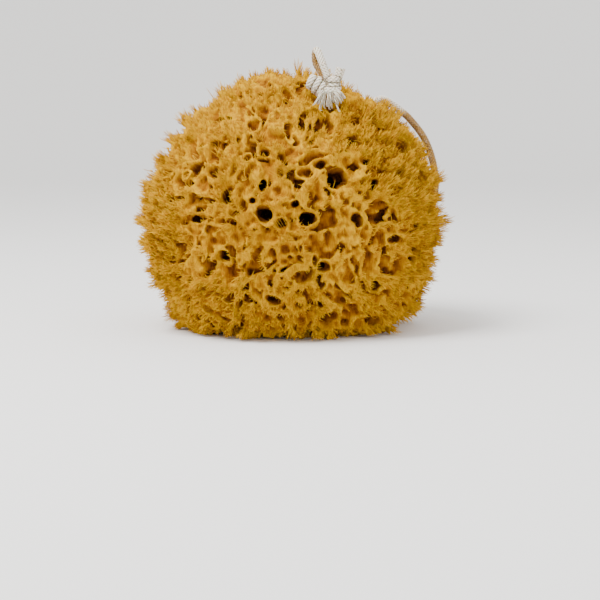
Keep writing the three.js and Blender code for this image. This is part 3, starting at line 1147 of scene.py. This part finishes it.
fine = surface(tissue_field, VOXEL)
coarse = surface(coarser(tissue_field, BACK_VOXEL), BACK_VOXEL)
skins = {
    "front_left": Skin(fine, lambda p: (p[:, 1] < FRONT_LEVEL) & (p[:, 0] < 0)),
    "front_right": Skin(fine, lambda p: (p[:, 1] < FRONT_LEVEL) & (p[:, 0] >= 0)),
    "sides": Skin(coarse, lambda p: (p[:, 1] >= FRONT_LEVEL - SEAM_OVERLAP) & (p[:, 1] < BACK_LEVEL)),
    "back": Skin(coarse, lambda p: p[:, 1] >= BACK_LEVEL),
}
tissue_pieces = [tissue_piece("sponge_tissue_" + name, part, 1 if name == "back" else -1)
                 for name, part in skins.items()]


# ---------------------------------------------------------------- the sponge's fibres

def nearest_centre(points, spacing, seed):
    """For each point, the nearest of scattered centres about `spacing` apart."""
    shift = np.random.default_rng(seed).random((TABLE ** 3, 3)).astype(np.float32)
    best = np.full(len(points), 9, np.float32)
    centre = points.copy()
    for _, gap in scattered(points, spacing, shift):
        far = (gap ** 2).sum(1)
        nearer = far < best
        best = np.where(nearer, far, best)
        centre[nearer] = points[nearer] + gap[nearer] * spacing
    return centre


class Seeds:
    """Random places on a surface where fibres grow, more of them where `likely` is high."""

    def __init__(self, skin_part, count, likely, rng):
        faces = skin_part.all_triangles()
        a, b, c = (skin_part.points[faces[:, k]] for k in range(3))
        area = np.linalg.norm(np.cross(b - a, c - a), axis=1) * likely[faces].mean(1)
        face = faces[rng.choice(len(area), count, p=area / area.sum())]
        u, v = rng.random((2, count, 1))
        u, v = np.where(u + v > 1, 1 - u, u), np.where(u + v > 1, 1 - v, v)

        def mixed(values):
            first, second, third = (values[face[:, k]] for k in range(3))
            return first + u * (second - first) + v * (third - first)

        self.root = mixed(skin_part.points)
        self.out = unit(mixed(skin_part.out))
        self.way = unit(mixed(skin_part.way))
        self.depth = mixed(skin_part.depth[:, None])[:, 0]
        self.shade = mixed(skin_part.shade[:, None])[:, 0]
        self.edge = mixed(skin_part.edge[:, None])[:, 0]


# Fibres keep out of balls round the knot, and out of an oval round the frayed end: its place from the knot
# and its radii.
KNOT_BALLS = (-4, 0, 4)
KNOT_BALL_RADIUS = 4.9
FRAY_PLACE = (2.4, -8.0, -6.0)
FRAY_RADII = (8.0, 5.5, 6.0)
# Fibres root and end at least this high over the ground.
ROOT_HEIGHT = 1.0
TIP_HEIGHT = 0.5


def clear_of_cord(points, gap):
    """True for points that aren't on the cord, the knot or the frayed end."""
    balls = [(bead, CORD_RADIUS / MM + gap) for bead in loop_route[::3] / MM]
    balls += [(KNOT_CENTRE + (x, 0, 0), KNOT_BALL_RADIUS) for x in KNOT_BALLS]
    free = np.ones(len(points), bool)
    for middle, radius in balls:
        free &= ((points - middle) ** 2).sum(1) > radius ** 2
    fray = points - (KNOT_CENTRE + FRAY_PLACE)
    return free & (((fray / FRAY_RADII) ** 2).sum(1) > 1)


def fit_for_fibres(roots, middles, tips):
    """Fibres that stand clear of the cord, the knot and the ground."""
    return (clear_of_cord(tips, 0.05) & clear_of_cord(middles, 0.05) & clear_of_cord(roots, -0.4)
            & (tips[:, 2] > TIP_HEIGHT) & (middles[:, 2] > TIP_HEIGHT) & (roots[:, 2] > ROOT_HEIGHT))


def growing_room(points):
    """How freely fibres grow at points, 0 to 1: not at the ground, and hardly any in the smooth bowl."""
    x, z, radius, _ = SMOOTH_BOWL
    away = np.linalg.norm(points - front_point(x, z)[0], axis=1)
    in_bowl = smoothstep(radius * 1.15, radius * 0.8, away)
    return smoothstep(0.3, 1.6, points[:, 2]) * (1 - 0.9 * in_bowl)


RING = np.array([[math.cos(a), math.sin(a)] for a in (0, 2 * math.pi / 3, 4 * math.pi / 3)])


def fibre_mesh(name, roots, middles, tips, girths, shades, flatness, bent):
    """Fine tapering three-sided fibres, joined in one mesh: bent ones have a ring halfway. Lengths in mm."""
    count = len(roots)
    way = unit(tips - roots)
    spare = np.where(np.abs(way[:, 2:3]) > 0.8, np.array([[1.0, 0, 0]]), np.array([[0, 0, 1.0]]))
    side = unit(np.cross(way, spare))
    up = np.cross(way, side)
    rings = ((roots, 1.0, 0.0), (middles, 0.85, 0.5)) if bent else ((roots, 1.0, 0.0),)
    size = 3 * len(rings) + 1
    points = np.empty((count, size, 3))
    along = []
    for ring, (centre, share, place) in enumerate(rings):
        for corner, (cos, sin) in enumerate(RING):
            points[:, ring * 3 + corner] = centre + (girths * share)[:, None] * (
                side * cos + up * sin * flatness[:, None])
            along.append(place)
    points[:, size - 1] = tips
    along.append(1.0)
    first = np.arange(count)[:, None, None] * size
    last = size - 4
    ends = np.array([[last, last + 1, last + 3], [last + 1, last + 2, last + 3], [last + 2, last, last + 3]])
    faces = [(first + ends).reshape(-1, 3)]
    if bent:
        walls = np.array([[0, 1, 4, 3], [1, 2, 5, 4], [2, 0, 3, 5]])
        faces.append((first + walls).reshape(-1, 4))
    piece = mesh_piece(name, points.reshape(-1, 3) * MM, faces)
    along = np.tile(along, count)
    shade = np.repeat(shades, size)
    value_on_points(piece, "along", along)
    value_on_points(piece, "shade", shade)
    lay_bake_map(piece, np.stack([0.02 + 0.96 * shade, 0.02 + 0.96 * along], 1))
    return piece


TUFT_SPACING = 2.1
UPWARD = np.array((0.0, 0.0, 1.0))
COMBED_WAY = np.array((0.45, -0.1, 0.9))
# Which shares of the tuft fibres stand apart from their tuft, are broad, or cross the channels as threads.
SINGLE_SHARE = 0.12
BROAD_SHARE = 0.25
THREAD_SHARE = 0.10
# The least and the greatest lengths and radii of each kind of fibre.
TUFT_LENGTHS = (1.5, 4.0)
THREAD_LENGTHS = (2.5, 5.0)
TUFT_GIRTHS = (0.14, 0.24)
DOWN_GIRTHS = (0.09, 0.17)
STRAND_GIRTHS = (0.13, 0.22)
# Broad fibres are this much wider, and this flat.
BROADER = 2.2
BROAD_FLATNESS = 0.35
TUFT_FLATNESS = 0.9


def grow_tufts(name, skin_part, count, seed):
    """Bent fibres on the crests, drawn together into flame-shaped tufts."""
    rng = np.random.default_rng(seed)
    open_out = np.clip((skin_part.out * skin_part.way).sum(1), 0, 1)
    combed = combed_share(skin_part.way)
    worn = worn_share(skin_part.way)
    near_top = smoothstep(5.0, 0.3, skin_part.depth) * (1 - 0.5 * worn)
    likely = 0.012 + near_top * (0.3 + 0.7 * open_out) * (0.06 * (1 - worn) + 0.94 * skin_part.edge)
    likely += 0.35 * combed * smoothstep(8, 2, skin_part.depth)
    likely *= growing_room(skin_part.points)
    seeds = Seeds(skin_part, count, likely, rng)
    combed = combed_share(seeds.way)[:, None]
    long = TUFT_LENGTHS[0] + (TUFT_LENGTHS[1] - TUFT_LENGTHS[0]) * smoothstep(5.0, 0.0, seeds.depth)
    long *= rng.uniform(0.6, 1.3, count) * (1 + 0.3 * lumps(seeds.root, 12, 81)) * (0.62 + 0.43 * seeds.edge)
    worn = worn_share(seeds.way)
    long *= 1 - 0.2 * worn
    single = rng.random(count) < SINGLE_SHARE
    stray = rng.normal(0, 0.12, seeds.root.shape)
    aim = unit(0.35 * seeds.out + seeds.way + 0.2 * UPWARD + combed * 0.8 * COMBED_WAY + stray)
    tips = seeds.root + aim * long[:, None]
    tuft = nearest_centre(tips, TUFT_SPACING, 71)
    tuft += seeds.way * ((tips - tuft) * seeds.way).sum(1)[:, None]
    pull = np.where(single, rng.uniform(0.0, 0.3, count), rng.uniform(0.6, 0.96, count))[:, None]
    tips += (tuft - tips) * pull
    bends = (seeds.way * 0.16 + rng.normal(0, 0.06, seeds.root.shape)) * long[:, None]
    thread = (rng.random(count) < THREAD_SHARE) & (seeds.depth > 1.5) & (seeds.depth < 10)
    wander = unit(rng.normal(0, 1, seeds.root.shape) + 0.9 * seeds.out)
    tips[thread] = seeds.root[thread] + wander[thread] * rng.uniform(*THREAD_LENGTHS, (thread.sum(), 1))
    girths = rng.uniform(*TUFT_GIRTHS, count)
    broad = (rng.random(count) < BROAD_SHARE * (1 - worn)) & ~single
    girths = np.where(broad, girths * BROADER, girths * (1 - 0.3 * worn))
    flatness = np.where(broad, BROAD_FLATNESS, TUFT_FLATNESS)
    tint = 0.07 * lumps(seeds.root, 10, 91) + 0.20 * lumps(tuft, 1.5, 92) + rng.normal(0, 0.08, count)
    # Each fibre carries the tissue's painted shade from its root, with a random tint.
    shades = np.clip(seeds.shade * 0.85 + tint, 0, 1)
    middles = (seeds.root + tips) / 2 + bends
    keep = fit_for_fibres(seeds.root, middles, tips)
    picked = [values[keep] for values in (seeds.root - aim * 0.3, middles, tips, girths, shades, flatness)]
    return fibre_mesh(name, *picked, bent=True)


def grow_down(name, skin_part, count, seed):
    """Short straight fibres all over the tissue: the felt that makes its walls rough."""
    rng = np.random.default_rng(seed)
    likely = 0.06 + smoothstep(8.0, 1.0, skin_part.depth) * (0.25 + 0.75 * skin_part.edge)
    likely *= growing_room(skin_part.points)
    seeds = Seeds(skin_part, count, likely, rng)
    combed = combed_share(seeds.way)[:, None]
    long = (0.55 + 0.5 * smoothstep(6.0, 0.0, seeds.depth)) * rng.uniform(0.5, 1.4, count)
    stray = rng.normal(0, 0.3, seeds.root.shape)
    aim = unit(0.5 * seeds.out + 0.9 * seeds.way + 0.25 * UPWARD + combed * 0.9 * COMBED_WAY + stray)
    tips = seeds.root + aim * long[:, None]
    girths = rng.uniform(*DOWN_GIRTHS, count)
    tint = 0.07 * lumps(seeds.root, 10, 91) + rng.normal(0, 0.05, count)
    # Each fibre carries the tissue's painted shade from its root, with a random tint.
    shades = np.clip(seeds.shade * 0.9 + tint, 0, 1)
    keep = fit_for_fibres(seeds.root, (seeds.root + tips) / 2, tips)
    picked = [values[keep] for values in (seeds.root - aim * 0.2, tips, tips, girths, shades, np.ones(count))]
    return fibre_mesh(name, *picked, bent=False)


# Bundles of long strands that lie side by side on the front: [from x, z], [to x, z], strands.
BUNDLES = [
    ((-8.5, 77), (0.5, 72), 10),
    ((-30.5, 71), (-27, 62), 6),
    ((-36, 92), (-29, 87), 7),
    ((-5.5, 56), (-1.5, 51), 5),
    ((22, 89), (27, 83), 5),
    ((33, 97), (38.5, 102.5), 8),
    ((-21, 61), (-27, 56), 6),
    ((9, 72), (13, 77), 5),
    ((-44, 82), (-38.5, 77.5), 7),
    ((49, 61), (53.5, 66), 6),
    ((-14, 89), (-11, 94), 6),
]
BUNDLE_LIFT = 0.5
BUNDLE_SPREAD = 1.9


def strand_bundles():
    """The long strands of the front in one mesh."""
    rng = np.random.default_rng(131)
    roots, tips = [], []
    for start, end, count in BUNDLES:
        first, out = front_point(*start)
        last = front_point(*end)[0]
        across = unit(np.cross(last - first, out))
        for k in range(count):
            aside = across * (k / (count - 1) - 0.5) * 2 * BUNDLE_SPREAD
            shift = rng.normal(0, 0.35, (2, 3))
            cut_short = rng.uniform(0.75, 1.1)
            roots.append(first + aside + shift[0] - out * BUNDLE_LIFT)
            tips.append(first + (last - first) * cut_short + aside * 1.3 + shift[1] + out * BUNDLE_LIFT)
    roots, tips = np.array(roots), np.array(tips)
    count = len(roots)
    middles = (roots + tips) / 2 + unit(roots - HEART) * rng.uniform(0.5, 1.2, (count, 1))
    girths = rng.uniform(*STRAND_GIRTHS, count)
    shades = rng.uniform(0.0, 0.3, count)
    flatness = np.full(count, 0.6)
    return fibre_mesh("sponge_long_strands", roots, middles, tips, girths, shades, flatness, bent=True)


TUFT_FIBRES = {"front_left": 10000, "front_right": 10500, "sides": 9500, "back": 8000}
DOWN_FIBRES = {"front_left": 7000, "front_right": 7000, "sides": 5000, "back": 4500}
fibre_pieces = [strand_bundles()]
for number, (name, part) in enumerate(skins.items()):
    fibre_pieces.append(grow_tufts("sponge_tufts_" + name, part, TUFT_FIBRES[name], 101 + number))
    fibre_pieces.append(grow_down("sponge_down_" + name, part, DOWN_FIBRES[name], 111 + number))


# Colours from the open crests to the deepest channels: the honey tint, palest as a painted highlight on thin
# crest edges and darkened by painted shade towards the channels.
TISSUE_STOPS = [(0.0, (0.61, 0.335, 0.003)), (0.12, (0.49, 0.238, 0.002)), (0.26, (0.38, 0.168, 0.002)),
                (0.42, (0.29, 0.112, 0.002)), (0.60, (0.21, 0.070, 0.003)), (0.80, (0.13, 0.037, 0.004)),
                (1.0, (0.035, 0.011, 0.004))]
TIP_STOPS = [(0.0, (0.70, 0.375, 0.006)), (0.16, (0.55, 0.265, 0.003)), (0.40, (0.37, 0.142, 0.003)),
             (1.0, (0.10, 0.027, 0.003))]
# The tissue's fine strands run mostly upward, so their noise is squashed along the height.
STRAND_SQUASH = (1.0, 1.0, 0.3)


def skeleton_material():
    """Spongin: honey-coloured, with painted highlights on the crest edges, painted shade that browns the
    channels, uneven tint and a felted surface.
    """
    material, tree, shader = new_material("sponge_tissue", Roughness=0.9, Specular_IOR_Level=0.06,
                                          Subsurface_Weight=0.04, Subsurface_Scale=0.0025)
    shade = attribute(tree, "shade")
    tint = place_group(tree, mottle, **{"Cloud Size": 60.0, "Fleck Size": 1400.0, "Fleck Share": 0.55,
                                        "Squash": STRAND_SQUASH})
    shift = math_node(tree, "MULTIPLY", math_node(tree, "SUBTRACT", tint.outputs["Mask"], 0.5), 0.30)
    level = math_node(tree, "ADD", shade, shift, clamp=True)
    colour = ramp(tree, level, TISSUE_STOPS)
    tree.links.new(colour, shader.inputs["Base Color"])
    felt_surface(tree, shader, 1.0, 0.0008,
                 **{"Fibre Size": 1500.0, "Pucker Size": 520.0, "Squash": STRAND_SQUASH})
    return material


def fibre_material():
    """Fibres take the tissue's tint and painted shade at their roots and pale towards their tips."""
    material, tree, shader = new_material("sponge_fibre", Roughness=0.75, Specular_IOR_Level=0.12,
                                          Subsurface_Weight=0.04, Subsurface_Scale=0.0015)
    shade = attribute(tree, "shade")
    along = attribute(tree, "along")
    root = ramp(tree, shade, TISSUE_STOPS)
    tip = ramp(tree, shade, TIP_STOPS)
    colour = blend_colours(tree, spread_value(tree, along, 0.1, 1.0), root, tip)
    tree.links.new(colour, shader.inputs["Base Color"])
    return material


tissue = skeleton_material()
fibre = fibre_material()
for piece in tissue_pieces:
    piece.data.materials.append(tissue)
for piece in fibre_pieces:
    piece.data.materials.append(fibre)
for piece in (*tissue_pieces, *fibre_pieces):
    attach(piece, "root")
    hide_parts("sponge")


# ---------------------------------------------------------------- floor

FLOOR_TURNS = 96
FLOOR_RADII = (0.3, 0.8, 1.3)
WALL_CURVE = 0.9


def pale_floor():
    """A round pale floor that sweeps up into a low wall, so that no edge shows behind the sponge."""
    profile = [(radius, 0.0) for radius in FLOOR_RADII]
    profile += [(FLOOR_RADII[-1] + WALL_CURVE * math.sin(a), WALL_CURVE - WALL_CURVE * math.cos(a))
                for a in np.linspace(0.1, 1.25, 12)]
    points = [(0.0, 0.0, 0.0)]
    for radius, height in profile:
        for k in range(FLOOR_TURNS):
            a = 2 * math.pi * k / FLOOR_TURNS
            points.append((radius * math.cos(a), radius * math.sin(a), height))
    middle = [(0, 1 + k, 1 + (k + 1) % FLOOR_TURNS) for k in range(FLOOR_TURNS)]
    walls = []
    for ring in range(len(profile) - 1):
        low = 1 + ring * FLOOR_TURNS
        high = low + FLOOR_TURNS
        for k in range(FLOOR_TURNS):
            after = (k + 1) % FLOOR_TURNS
            walls.append((low + k, high + k, high + after, low + after))
    floor = mesh_piece("floor", np.array(points), [np.array(walls), np.array(middle)])
    material = new_material("pale_floor", Roughness=0.8, Specular_IOR_Level=0.1,
                            Base_Color=(0.88, 0.875, 0.865, 1))[0]
    floor.data.materials.append(material)


pale_floor()
